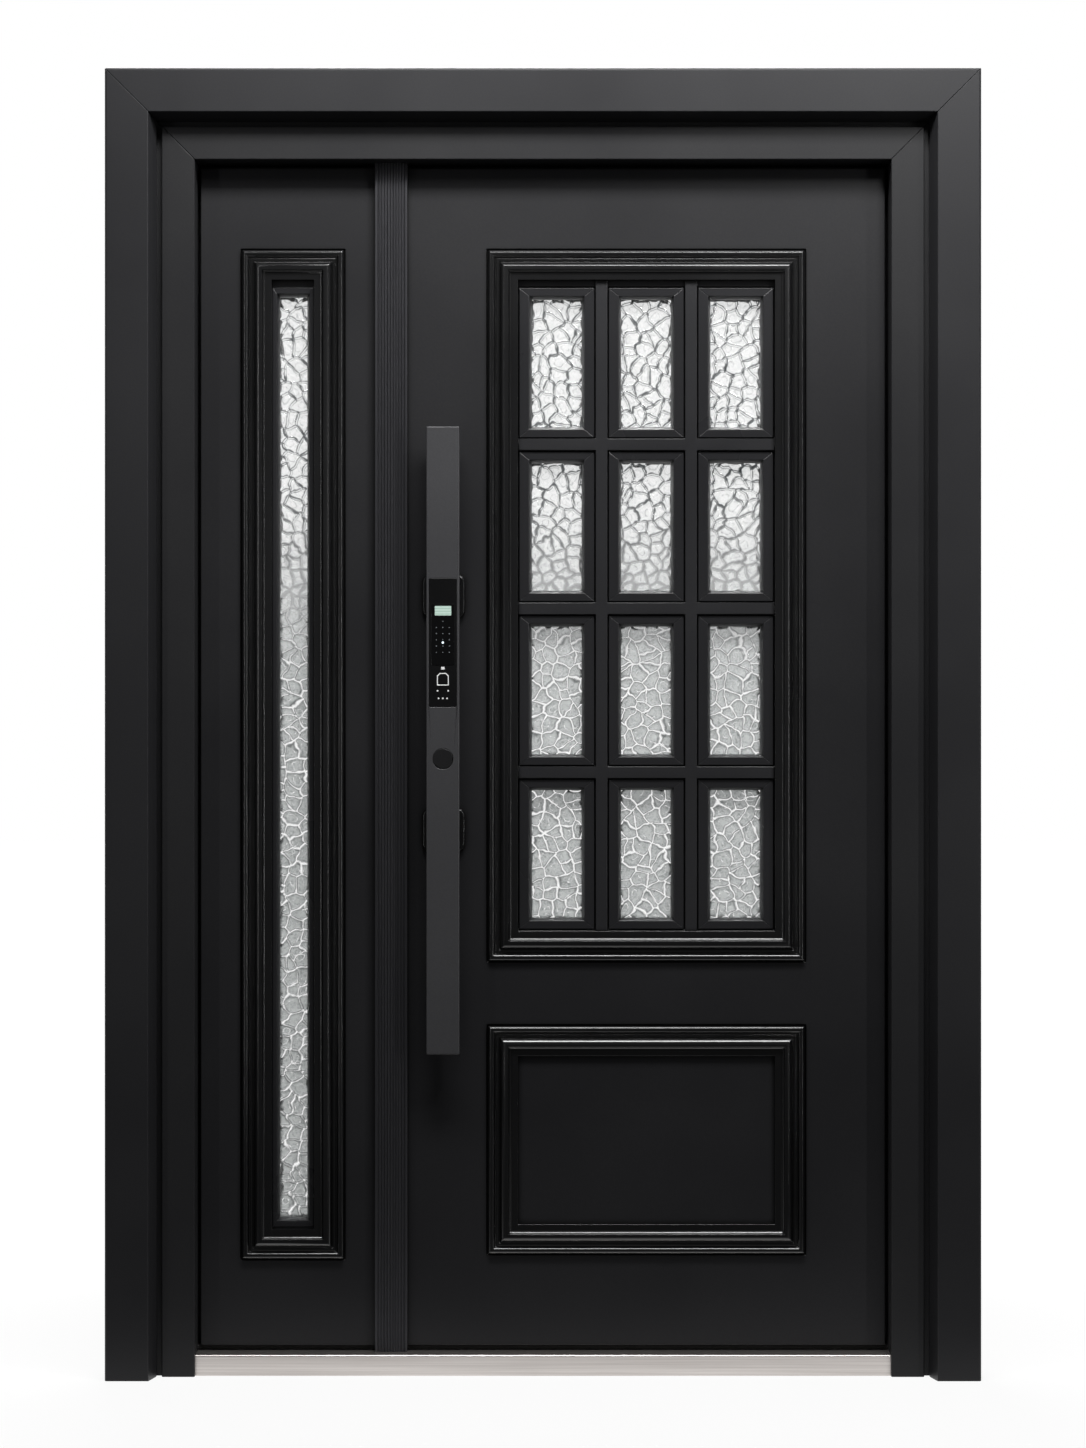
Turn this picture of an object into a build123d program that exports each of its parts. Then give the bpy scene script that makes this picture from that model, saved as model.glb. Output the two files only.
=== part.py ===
from build123d import *
import os

# Cast aluminium entrance door with a wide main leaf and a narrow side leaf, in millimetres.
# X runs along the wall, Y goes from the street inwards, Z is up.
# The origin is on the floor under the sill, in the middle of the doorway, in the plane of the wall.

# Clear doorway between the jambs and from the floor to the head
opening_width = 1240
opening_height = 2167

# Casing that covers the edge of the wall, and the frame inside it
casing_face = 77
casing_depth = 60
casing_edge = 3
casing_seat = 3
return_run = 9.5
shadow_groove = 10
jamb_face = 58.5
jamb_nose = 16
frame_depth = 120
rebate_width = 15
rebate_depth = 45

# Stainless sill
sill_height = 37.5
sill_overhang = 5
sill_nose_radius = 4

# Ribbed mullion between the two leaves
mullion_strip_width = 58
mullion_strip_depth = 10
mullion_rib_count = 9
mullion_rib_depth = 1.6
mullion_rib_gap = 2.4
mullion_margin = 6
mullion_post_width = 16

# Leaves
leaf_thickness = 80
side_leaf_face = 313
leaf_side_gap = 6
leaf_top_gap = 8
leaf_sill_gap = 10
leaf_lap = 4
mullion_leaf_gap = 6
latch_gap = 9
flange_gap = 5
fit_gap = 0.2

# Bead mouldings: the bead at the outer edge, a small fillet, a large quarter round and a hollow
bead_radius = 6
bead_base = 4
quirk_width = 3
fillet_width = 4
fillet_rise = 2
fillet_gap = 2
ovolo_radius = 12
crown_width = 3
crown_drop = 2
hollow_width = 8
hollow_drop = 6
inner_fillet = 9

# Shadow grooves: one in the leaf round each moulding, one in the grid round each pane's border
leaf_groove_width = 3
leaf_groove_depth = 5
pane_groove_width = 2.4
pane_groove_depth = 3

# Lower panel of the main leaf
panel_height = 408
panel_lift = 164.5

# Twelve-pane window of the main leaf, over the panel
window_width = 567
window_lift = 117.5
window_top_margin = 147.5
pane_columns = 3
pane_rows = 4
pane_side_border = 20.3
pane_row_border = 17
pane_top_border = 28
pane_bottom_border = 18
pane_bevel = 4.5
pane_bevel_depth = 8
muntin_width = 21
muntin_rise = 6
grid_recess = 6
grid_thickness = 22
grid_lap = 12

# Slit window of the side leaf
slit_window_width = 182
slit_window_lift = 155.5
slit_window_shift = 9
slit_side_border = 8.75
slit_top_border = 24
slit_bottom_border = 14

# Pull handles with the lock reader in the outer one
handle_setback = 65
handle_width = 59
handle_length = 1117
handle_lift = 526.5
handle_thickness = 25
handle_reach = 65
handle_chamfer = 1.5
post_size = 40
post_corner = 8
rose_size = 77
rose_corner = 14
rose_thickness = 12
rose_chamfer = 2.5
lower_rose_rise = 398
rose_spacing = 419
reader_width = 50
reader_length = 229
reader_rise = 618
reader_corner = 4
reader_depth = 4
button_radius = 18.5
button_depth = 4
button_gap = 73.5

# Lift-off hinges on the inner side
hinge_count = 3
hinge_end_distance = 282.5
knuckle_radius = 8
knuckle_height = 58
knuckle_gap = 0.3
knuckle_stand = 1
hinge_plate_width = 42
hinge_plate_thickness = 4
pin_radius = 5
pin_clearance = 0.05
pin_length = 46
pin_end_gap = 0.4

# Anchor holes through the jambs, a lower and an upper pair
anchor_radius = 6
anchor_end_distance = 300
anchor_spacing = 550

# Places that follow from the sizes above
half_opening = opening_width / 2
nose_outer = half_opening + jamb_face
casing_inner = nose_outer + shadow_groove + return_run
casing_outer = casing_inner + casing_face
head_rise = casing_outer - half_opening
casing_top = opening_height + head_rise
casing_front = -casing_depth
jamb_front = -jamb_nose
lip_back = frame_depth - rebate_depth
leaf_front = frame_depth - leaf_thickness
leaf_middle = (leaf_front + frame_depth) / 2
flange_front = lip_back + flange_gap
flange_reach = rebate_width - flange_gap
leaf_base = sill_height + leaf_sill_gap
leaf_top = opening_height - leaf_top_gap
flange_top = opening_height + flange_reach
leaf_edge = half_opening - leaf_side_gap
flange_edge = half_opening + flange_reach
strip_back = leaf_front - mullion_leaf_gap
strip_front = strip_back - mullion_strip_depth
strip_left = side_leaf_face - leaf_edge
strip_right = strip_left + mullion_strip_width
post_left = (strip_left + strip_right - mullion_post_width) / 2
post_right = post_left + mullion_post_width
panel_base = leaf_base + panel_lift
window_middle = (strip_right + leaf_edge) / 2
window_base = panel_base + panel_height + window_lift
window_height = leaf_top - window_top_margin - window_base
slit_middle = (strip_left - leaf_edge) / 2 + slit_window_shift
slit_window_base = leaf_base + slit_window_lift
slit_window_height = leaf_top - window_top_margin - slit_window_base
hinge_x = half_opening + rebate_width - flange_gap / 2
hinge_y = frame_depth + knuckle_radius + knuckle_stand
fillet_start = 2 * bead_radius + quirk_width
ovolo_start = fillet_start + fillet_width + fillet_gap
crown_start = ovolo_start + ovolo_radius
hollow_start = crown_start + crown_width
hollow_end = hollow_start + hollow_width
moulding_width = hollow_end + inner_fillet
crown_height = bead_base + ovolo_radius
hollow_top = crown_height - crown_drop
hollow_floor = hollow_top - hollow_drop
handle_middle = strip_right + handle_setback
handle_base = leaf_base + handle_lift
handle_front = leaf_front - handle_reach
handle_back = handle_front + handle_thickness
lower_rose_height = handle_base + lower_rose_rise
upper_rose_height = lower_rose_height + rose_spacing
reader_base = handle_base + reader_rise
button_height = reader_base - button_gap - button_radius
hinge_length = 2 * knuckle_height + knuckle_gap
lowest_hinge = leaf_base + hinge_end_distance
hinge_pitch = (leaf_top - hinge_end_distance - hinge_length - lowest_hinge) / (hinge_count - 1)
anchor_y = (lip_back + frame_depth) / 2
lower_anchors = (anchor_end_distance, anchor_end_distance + anchor_spacing)
upper_anchors = (opening_height - anchor_end_distance - anchor_spacing, opening_height - anchor_end_distance)

os.makedirs("parts", exist_ok=True)


def save(node, *solids):
    shape = solids[0] if len(solids) == 1 else Compound(children=list(solids))
    export_step(shape, f"parts/{node}.step")


def block(x0, x1, y0, y1, z0, z1):
    return Pos((x0 + x1) / 2, (y0 + y1) / 2, (z0 + z1) / 2) * Box(x1 - x0, y1 - y0, z1 - z0)


def mirrored(shape):
    """The same piece on the inner face of a leaf, turned about the leaf's middle plane."""
    return mirror(shape, Plane.XZ.offset(-leaf_middle))


# Casing and frame: one section, with u measured outwards from the doorway, mitred at both top corners
def upright(section, side):
    """An upright with the section (u, y), from the floor to the mitre, on side -1 or +1."""
    face = make_face(Polyline([(side * (half_opening + u), y) for u, y in section], close=True))
    bar = extrude(Plane.XY * face, amount=casing_top, dir=(0, 0, 1))
    corner_x = side * half_opening
    past_mitre = 2 * head_rise
    above_mitre = Polyline(
        (corner_x, opening_height),
        (corner_x, opening_height + past_mitre),
        (corner_x + side * past_mitre, opening_height + past_mitre),
        close=True,
    )
    return bar - extrude(make_face(Plane.XZ * above_mitre), amount=casing_top, both=True)


def head_bar(section):
    """A head with the section (u, y), cut to the two mitres."""
    face = make_face(Polyline([(y, opening_height + u) for u, y in section], close=True))
    bar = extrude(Plane.YZ * face, amount=casing_outer, both=True)
    trapezium = Polyline(
        (-half_opening, opening_height),
        (half_opening, opening_height),
        (casing_outer, casing_top),
        (-casing_outer, casing_top),
        close=True,
    )
    return bar & extrude(make_face(Plane.XZ * trapezium), amount=casing_top, both=True)


return_start = jamb_face + shadow_groove
casing_start = return_start + return_run
casing_section = (
    (casing_start, casing_front),
    (head_rise - casing_edge, casing_front),
    (head_rise, casing_front + casing_edge),
    (head_rise, 0),
    (casing_start, 0),
    (casing_start, -casing_seat),
    (return_start, -casing_seat),
    (return_start, jamb_front),
)
save("casing_left", upright(casing_section, -1))
save("casing_right", upright(casing_section, 1))
save("casing_head", head_bar(casing_section))

jamb_section = (
    (0, jamb_front),
    (jamb_face, jamb_front),
    (jamb_face, -casing_seat),
    (casing_start, -casing_seat),
    (casing_start, frame_depth),
    (rebate_width, frame_depth),
    (rebate_width, lip_back),
    (0, lip_back),
)


def jamb(side):
    """A jamb, solid beside the sill, with two pairs of anchor holes behind the leaf's edge."""
    inner = side * half_opening
    rebate_wall = side * (half_opening + rebate_width)
    foot = block(min(inner, rebate_wall), max(inner, rebate_wall), lip_back, frame_depth, 0, sill_height)
    body = upright(jamb_section, side) + foot
    for height in lower_anchors + upper_anchors:
        body -= Pos(inner, anchor_y, height) * Rot(0, 90, 0) * Cylinder(anchor_radius, 4 * head_rise)
    return body


save("jamb_left", jamb(-1))
save("jamb_right", jamb(1))
save("frame_head", head_bar(jamb_section))

# Sill between the jambs, with a rounded nose
sill = block(-half_opening, half_opening, -sill_overhang, frame_depth, 0, sill_height)
nose = sill.edges().filter_by(Axis.X).group_by(Axis.Y)[0].sort_by(Axis.Z)[-1]
save("sill", fillet(nose, sill_nose_radius))

# Mullion: a post from the sill up into the head's rebate, and the ribbed strip that covers both latch edges
post = block(post_left, post_right, strip_back, lip_back, sill_height, opening_height)
post += block(post_left, post_right, lip_back, frame_depth, sill_height, opening_height + rebate_width)
save("mullion_post", post)
strip = block(strip_left, strip_right, strip_front, strip_back, sill_height, opening_height)
rib_pitch = (mullion_strip_width - 2 * mullion_margin) / mullion_rib_count
for rib in range(mullion_rib_count + 1):
    groove_x = strip_left + mullion_margin + rib * rib_pitch
    strip -= block(
        groove_x - mullion_rib_gap / 2, groove_x + mullion_rib_gap / 2,
        strip_front, strip_front + mullion_rib_depth, sill_height, opening_height)
save("mullion_strip", strip)


# Leaves: the front part stands inside the frame, the flange behind it laps the jamb, the head and the post
def leaf_slab(front_x0, front_x1, back_x0, back_x1):
    front = block(front_x0, front_x1, leaf_front, flange_front, leaf_base, leaf_top)
    return front + block(back_x0, back_x1, flange_front, frame_depth, leaf_base, flange_top)


def window_hole(middle, width, height, base):
    """The cut through a leaf for a window, wide enough for the grids that stand in it."""
    reach = moulding_width - grid_lap
    return block(
        middle - width / 2 + reach, middle + width / 2 - reach, leaf_front, frame_depth,
        base + reach, base + height - reach)


def groove_ring(x0, x1, z0, z1, width, front, depth):
    """A square groove inside the given rectangle, sunk from a face."""
    inside = block(x0 + width, x1 - width, front, front + depth, z0 + width, z1 - width)
    return block(x0, x1, front, front + depth, z0, z1) - inside


def shadow_grooves(middle, width, height, base):
    """The grooves in both faces of a leaf round a moulding."""
    reach = width / 2 + leaf_groove_width
    front_ring = groove_ring(
        middle - reach, middle + reach, base - leaf_groove_width, base + height + leaf_groove_width,
        leaf_groove_width, leaf_front, leaf_groove_depth)
    return front_ring + mirrored(front_ring)


main_slab = leaf_slab(strip_right - leaf_lap, leaf_edge, post_right + latch_gap, flange_edge)
main_hole = window_hole(window_middle, window_width, window_height, window_base)
main_slab -= shadow_grooves(window_middle, window_width, window_height, window_base)
main_slab -= shadow_grooves(window_middle, window_width, panel_height, panel_base)
save("main_leaf", main_slab - main_hole)
side_slab = leaf_slab(-leaf_edge, strip_left + leaf_lap, -flange_edge, post_left - latch_gap)
slit_hole = window_hole(slit_middle, slit_window_width, slit_window_height, slit_window_base)
side_slab -= shadow_grooves(slit_middle, slit_window_width, slit_window_height, slit_window_base)
save("side_leaf", side_slab - slit_hole)


# Bead mouldings: four strips of one section, mitred into a rectangle
quarter_middle = 1 - 0.5 ** 0.5
moulding_outline = Polyline((moulding_width, hollow_floor), (moulding_width, 0), (0, 0), (0, bead_base))
moulding_outline += ThreePointArc(
    (0, bead_base), (bead_radius, bead_base + bead_radius), (2 * bead_radius, bead_base))
moulding_outline += Polyline(
    (2 * bead_radius, bead_base),
    (fillet_start, bead_base),
    (fillet_start, bead_base + fillet_rise),
    (fillet_start + fillet_width, bead_base + fillet_rise),
    (fillet_start + fillet_width, bead_base),
    (ovolo_start, bead_base),
)
moulding_outline += ThreePointArc(
    (ovolo_start, bead_base),
    (ovolo_start + ovolo_radius * quarter_middle, crown_height - ovolo_radius * quarter_middle),
    (crown_start, crown_height),
)
moulding_outline += Polyline(
    (crown_start, crown_height), (hollow_start, crown_height), (hollow_start, hollow_top))
moulding_outline += ThreePointArc(
    (hollow_start, hollow_top),
    (hollow_start + hollow_width * quarter_middle, hollow_floor + hollow_drop * quarter_middle),
    (hollow_end, hollow_floor),
)
moulding_outline += Line((hollow_end, hollow_floor), (moulding_width, hollow_floor))
moulding_section = Plane.YZ * make_face(moulding_outline)


def moulding_strip(length):
    """One strip along X, with its outer edge on the X axis and a mitre at each end."""
    half = length / 2
    plan = Polyline(
        (-half, 0),
        (half, 0),
        (half - moulding_width, moulding_width),
        (moulding_width - half, moulding_width),
        close=True,
    )
    return extrude(moulding_section, amount=half, both=True) & extrude(make_face(plan), amount=crown_height)


def moulding(middle, width, height, base):
    """The closed frame of four strips, on the outer face of a leaf."""
    level = moulding_strip(width)
    upright_strip = moulding_strip(height)
    frame = Pos(0, -height / 2) * level
    frame += Pos(width / 2, 0) * Rot(0, 0, 90) * upright_strip
    frame += Pos(0, height / 2) * Rot(0, 0, 180) * level
    frame += Pos(-width / 2, 0) * Rot(0, 0, 270) * upright_strip
    return Plane(origin=(middle, leaf_front, base + height / 2), x_dir=(1, 0, 0), z_dir=(0, -1, 0)) * frame


main_moulding = moulding(window_middle, window_width, window_height, window_base)
save("window_moulding_front", main_moulding)
save("window_moulding_back", mirrored(main_moulding))
panel_moulding = moulding(window_middle, window_width, panel_height, panel_base)
save("panel_moulding_front", panel_moulding)
save("panel_moulding_back", mirrored(panel_moulding))
slit_moulding = moulding(slit_middle, slit_window_width, slit_window_height, slit_window_base)
save("slit_moulding_front", slit_moulding)
save("slit_moulding_back", mirrored(slit_moulding))


# Window grids: a plate with bevelled openings, and raised muntins between the panes
def pane_cut(x0, x1, z0, z1, front):
    """One opening through a grid plate: the given mouth at the front, narrowed by the bevel behind it."""
    width, height = x1 - x0, z1 - z0
    clear_width, clear_height = width - 2 * pane_bevel, height - 2 * pane_bevel
    x, z = (x0 + x1) / 2, (z0 + z1) / 2
    mouth = Plane(origin=(x, front, z), x_dir=(1, 0, 0), z_dir=(0, -1, 0))
    throat = mouth.offset(-pane_bevel_depth)
    bevel = loft([mouth * Rectangle(width, height), throat * Rectangle(clear_width, clear_height)])
    return bevel + Pos(x, front + grid_thickness / 2, z) * Box(clear_width, grid_thickness, clear_height)


def grid_plate(hole):
    """The plate that stands in a window's hole with the fit gap all round, and the glass behind it."""
    box = hole.bounding_box()
    sides = box.min.X + fit_gap, box.max.X - fit_gap
    ends = box.min.Z + fit_gap, box.max.Z - fit_gap
    return block(*sides, grid_front, grid_back, *ends), block(*sides, grid_back, glass_back, *ends)


grid_front = leaf_front + grid_recess
grid_back = grid_front + grid_thickness
glass_back = 2 * leaf_middle - grid_back

grid, window_glass = grid_plate(main_hole)
inner_x0 = window_middle - window_width / 2 + moulding_width
inner_x1 = window_middle + window_width / 2 - moulding_width
inner_z0 = window_base + moulding_width
inner_z1 = window_base + window_height - moulding_width
column_gap = muntin_width + 2 * pane_side_border
row_gap = muntin_width + 2 * pane_row_border
pane_width = (inner_x1 - inner_x0 + muntin_width) / pane_columns - column_gap
rows_height = inner_z1 - inner_z0 - pane_top_border - pane_bottom_border
pane_height = (rows_height + row_gap) / pane_rows - row_gap
muntin_front = grid_front - muntin_rise
column_starts = [inner_x0 + pane_side_border + i * (pane_width + column_gap) for i in range(pane_columns)]
row_starts = [inner_z0 + pane_bottom_border + i * (pane_height + row_gap) for i in range(pane_rows)]
for pane_x in column_starts[1:]:
    muntin_x = pane_x - pane_side_border - muntin_width
    grid += block(muntin_x, muntin_x + muntin_width, muntin_front, grid_front, inner_z0, inner_z1)
for pane_z in row_starts[1:]:
    muntin_z = pane_z - pane_row_border - muntin_width
    grid += block(inner_x0, inner_x1, muntin_front, grid_front, muntin_z, muntin_z + muntin_width)
for pane_x in column_starts:
    for pane_z in row_starts:
        grid -= pane_cut(pane_x, pane_x + pane_width, pane_z, pane_z + pane_height, grid_front)
        grid -= groove_ring(
            pane_x - pane_side_border, pane_x + pane_width + pane_side_border,
            pane_z - pane_row_border, pane_z + pane_height + pane_row_border,
            pane_groove_width, grid_front, pane_groove_depth)
save("window_grid_front", grid)
save("window_grid_back", mirrored(grid))
save("window_glass", window_glass)

slit_frame, slit_glass = grid_plate(slit_hole)
slit_border = moulding_width + slit_side_border
slit_frame -= pane_cut(
    slit_middle - slit_window_width / 2 + slit_border,
    slit_middle + slit_window_width / 2 - slit_border,
    slit_window_base + moulding_width + slit_bottom_border,
    slit_window_base + slit_window_height - moulding_width - slit_top_border,
    grid_front,
)
save("slit_frame_front", slit_frame)
save("slit_frame_back", mirrored(slit_frame))
save("slit_glass", slit_glass)

# Pull handles: a flat bar on two posts, each with a rounded square rose on the leaf
facing = Plane(origin=(handle_middle, handle_front, 0), x_dir=(1, 0, 0), z_dir=(0, -1, 0))
handle_left = handle_middle - handle_width / 2
handle_top = handle_base + handle_length
bar = block(handle_left, handle_left + handle_width, handle_front, handle_back, handle_base, handle_top)
bar = chamfer(bar.edges(), handle_chamfer)
save("pull_back", mirrored(bar))
reader_middle = reader_base + reader_length / 2
reader_shape = facing * Pos(0, reader_middle) * RectangleRounded(reader_width, reader_length, reader_corner)
reader = extrude(reader_shape, amount=-reader_depth)
button_shape = facing * Pos(0, button_height) * Circle(button_radius)
button = extrude(button_shape, amount=-button_depth)
save("pull_front", bar - reader - button)
save("lock_reader", reader)
save("lock_button", button)


def handle_mounts():
    """The two posts of a handle, each one piece with its rose."""
    mounts = []
    for height in (lower_rose_height, upper_rose_height):
        seat = Plane(origin=(handle_middle, leaf_front, height), x_dir=(1, 0, 0), z_dir=(0, -1, 0))
        rose = extrude(seat * RectangleRounded(rose_size, rose_size, rose_corner), amount=rose_thickness)
        rose = chamfer(rose.faces().sort_by(Axis.Y)[0].edges(), rose_chamfer)
        post = extrude(seat * RectangleRounded(post_size, post_size, post_corner), amount=leaf_front - handle_back)
        mounts.append(rose + post)
    return mounts


outer_mounts = handle_mounts()
save("pull_mounts_front", *outer_mounts)
save("pull_mounts_back", *[mirrored(mount) for mount in outer_mounts])


# Lift-off hinges: the jamb half carries the pin, the leaf half turns on it
def hinge_half(side, base, on_leaf):
    """A knuckle with its plate: on the leaf towards the doorway, on the jamb away from it."""
    toward = -side if on_leaf else side
    axis_x = side * hinge_x
    far_x = axis_x + toward * hinge_plate_width
    knuckle = Pos(axis_x, hinge_y, base + knuckle_height / 2) * Cylinder(knuckle_radius, knuckle_height)
    near_x = axis_x + toward * flange_gap / 2
    plate = block(
        min(near_x, far_x), max(near_x, far_x), frame_depth, frame_depth + hinge_plate_thickness,
        base, base + knuckle_height)
    return knuckle + plate


def hinge_set(side):
    """The jamb halves and the leaf halves of the three hinges of one leaf."""
    jamb_halves, leaf_halves = [], []
    for i in range(hinge_count):
        height = lowest_hinge + i * hinge_pitch
        leaf_height = height + knuckle_height + knuckle_gap
        foot = Pos(side * hinge_x, hinge_y, height + knuckle_height)
        up = (Align.CENTER, Align.CENTER, Align.MIN)
        pin = foot * Cylinder(pin_radius, pin_length, align=up)
        bore = foot * Cylinder(pin_radius + pin_clearance, pin_length + pin_end_gap, align=up)
        jamb_halves.append(hinge_half(side, height, False) + pin)
        leaf_halves.append(hinge_half(side, leaf_height, True) - bore)
    return jamb_halves, leaf_halves


for name, side in (("main", 1), ("side", -1)):
    jamb_halves, leaf_halves = hinge_set(side)
    save(f"{name}_hinge_jamb_halves", *jamb_halves)
    save(f"{name}_hinge_leaf_halves", *leaf_halves)
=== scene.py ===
import math

import bmesh
import bpy
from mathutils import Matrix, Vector


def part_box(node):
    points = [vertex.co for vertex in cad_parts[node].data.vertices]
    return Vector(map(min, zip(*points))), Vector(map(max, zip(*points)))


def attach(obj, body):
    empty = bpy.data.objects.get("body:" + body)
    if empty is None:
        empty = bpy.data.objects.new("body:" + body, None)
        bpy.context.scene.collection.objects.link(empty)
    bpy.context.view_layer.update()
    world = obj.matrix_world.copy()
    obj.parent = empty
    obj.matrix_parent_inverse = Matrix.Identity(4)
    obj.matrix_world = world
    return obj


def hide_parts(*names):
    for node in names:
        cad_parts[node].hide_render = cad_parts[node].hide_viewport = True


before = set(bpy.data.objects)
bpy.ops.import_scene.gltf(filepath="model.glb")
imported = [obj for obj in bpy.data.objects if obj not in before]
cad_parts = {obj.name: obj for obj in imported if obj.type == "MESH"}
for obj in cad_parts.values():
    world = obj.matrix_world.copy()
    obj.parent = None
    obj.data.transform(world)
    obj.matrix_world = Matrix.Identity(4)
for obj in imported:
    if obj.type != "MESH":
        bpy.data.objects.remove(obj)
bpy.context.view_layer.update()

# Casing: the broad architrave that covers the edge of the wall on the street side.
# Three lengths of extruded aluminium with a slanted return, mitred at the top corners,
# screwed to the frame from behind and powder coated black with it.
casing_edge = 0.0011


def linear(colour):
    """The linear colour of an sRGB hex value, with alpha."""
    parts = [int(colour[i:i + 2], 16) / 255 for i in (1, 3, 5)]
    return [c / 12.92 if c <= 0.04045 else ((c + 0.055) / 1.055) ** 2.4 for c in parts] + [1.0]


def add(tree, kind, inputs=None, **settings):
    """A new node with its settings, and its inputs linked to sockets or nodes or set to values."""
    node = tree.nodes.new(kind)
    for key, value in settings.items():
        setattr(node, key, value)
    for key, value in (inputs or {}).items():
        if isinstance(key, int):
            socket = node.inputs[key]
        else:
            socket = next(s for s in node.inputs if s.enabled and key in (s.identifier, s.name))
        if isinstance(value, bpy.types.Node):
            value = next(s for s in value.outputs if s.enabled)
        if isinstance(value, bpy.types.NodeSocket):
            tree.links.new(value, socket)
        else:
            socket.default_value = value
    return node


def new_material(name):
    """A material with an empty Principled surface, its node tree and its object coordinates."""
    material = bpy.data.materials.new(name)
    material.use_nodes = True
    tree = material.node_tree
    place = add(tree, "ShaderNodeTexCoord").outputs["Object"]
    return material, tree, tree.nodes["Principled BSDF"], place


def powder_coat(name, colour, pale, roughness, shine=0.3, grain=0.25, painted_shade_width=0.0):
    """Polyester powder baked on aluminium: a satin skin with a fine orange peel and a faint unevenness.

    The peel of a real coat is under a millimetre, and is drawn at 3 mm so that it shows. Up to the given
    width, crevices get painted shade: the colour is darkened where ambient occlusion finds nearby surfaces.
    Anodised bars, moulded plastic, rubber and blackened steel have the same fine skin."""
    cloud_size, peel_size, peel_depth = 0.35, 0.003, 0.0003
    material, tree, surface, place = new_material(name)
    cloud = add(tree, "ShaderNodeTexNoise", {"Vector": place, "Scale": 1 / cloud_size, "Detail": 4.0})
    peel = add(tree, "ShaderNodeTexNoise", {"Vector": place, "Scale": 1 / peel_size, "Detail": 2.0})
    tone = add(tree, "ShaderNodeMath", {0: cloud, 1: peel}, operation="MULTIPLY")
    shade = add(tree, "ShaderNodeMapRange", {"Value": tone, "From Min": 0.12, "From Max": 0.42})
    tint = add(tree, "ShaderNodeMix", {
        "Factor": shade, "A": linear(colour), "B": linear(pale)}, data_type="RGBA")
    if painted_shade_width:
        # Painted shade: the colour darkens towards near black where other surfaces lie within the given
        # width
        reach = add(tree, "ShaderNodeAmbientOcclusion", {"Distance": painted_shade_width}, samples=8)
        painted_shade = add(tree, "ShaderNodeMapRange", {
            "Value": reach.outputs["AO"], "From Min": 0.45, "From Max": 0.95})
        tint = add(tree, "ShaderNodeMix", {
            "Factor": painted_shade, "A": linear("#030303"), "B": tint.outputs[2]}, data_type="RGBA")
    tree.links.new(tint.outputs[2], surface.inputs["Base Color"])
    gloss = add(tree, "ShaderNodeMapRange", {
        "Value": cloud, "From Min": 0.3, "From Max": 0.7,
        "To Min": roughness - 0.05, "To Max": roughness + 0.05})
    tree.links.new(gloss.outputs["Result"], surface.inputs["Roughness"])
    relief = add(tree, "ShaderNodeBump", {"Height": peel, "Strength": grain, "Distance": peel_depth})
    tree.links.new(relief.outputs["Normal"], surface.inputs["Normal"])
    surface.inputs["Specular IOR Level"].default_value = shine
    return material


def smooth_tree():
    """Geometry Nodes that shade a mesh smooth, but sharp where faces meet at more than an angle."""
    tree = bpy.data.node_groups.new("smooth_to_edges", "GeometryNodeTree")
    tree.interface.new_socket("Geometry", in_out="INPUT", socket_type="NodeSocketGeometry")
    sharp_angle = tree.interface.new_socket("Sharp Angle", in_out="INPUT", socket_type="NodeSocketFloat")
    sharp_angle.default_value = 0.6
    tree.interface.new_socket("Geometry", in_out="OUTPUT", socket_type="NodeSocketGeometry")
    given = add(tree, "NodeGroupInput")
    angle = add(tree, "GeometryNodeInputMeshEdgeAngle")
    sharp = add(tree, "FunctionNodeCompare", {
        "A": angle.outputs["Unsigned Angle"], "B": given.outputs["Sharp Angle"]}, operation="GREATER_THAN")
    smooth = add(tree, "GeometryNodeSetShadeSmooth", {
        "Geometry": given.outputs["Geometry"], "Shade Smooth": True}, domain="FACE")
    edged = add(tree, "GeometryNodeSetShadeSmooth", {
        "Geometry": smooth, "Selection": sharp, "Shade Smooth": False}, domain="EDGE")
    add(tree, "NodeGroupOutput", {"Geometry": edged})
    return tree


smooth_to_edges = smooth_tree()


def break_edges(piece, width, segments=2):
    """Joins a CAD mesh's loose triangles and rounds its sharp edges, as filing and coating do."""
    piece.modifiers.new("join", "WELD").merge_threshold = 0.00002
    piece.modifiers.new("smooth", "NODES").node_group = smooth_to_edges
    bevel = piece.modifiers.new("edges", "BEVEL")
    bevel.width = width
    bevel.segments = segments
    bevel.limit_method = "ANGLE"
    bevel.angle_limit = math.radians(34)
    bevel.use_clamp_overlap = False
    bevel.miter_outer = "MITER_ARC"
    normals = piece.modifiers.new("normals", "WEIGHTED_NORMAL")
    normals.keep_sharp = True
    normals.weight = 80


def finish_node(name, material, edge, segments=2):
    """Gives a CAD node its material and its broken edges."""
    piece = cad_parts[name]
    piece.data.materials.clear()
    piece.data.materials.append(material)
    break_edges(piece, edge, segments)


casing_coat = powder_coat("powder_coat_casing", "#262628", "#2b2b2d", 0.44)
for name in ("casing_left", "casing_right", "casing_head"):
    finish_node(name, casing_coat, casing_edge)

# Door frame: two jambs and a head of folded aluminium behind the casing, mitred like it,
# with a stop lip that the leaves close against, and the post that stands behind the mullion.
frame_edge = 0.0014
frame_coat = powder_coat("powder_coat_frame", "#232325", "#282829", 0.46)
for name in ("jamb_left", "jamb_right", "frame_head", "mullion_post"):
    finish_node(name, frame_coat, frame_edge)

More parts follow.
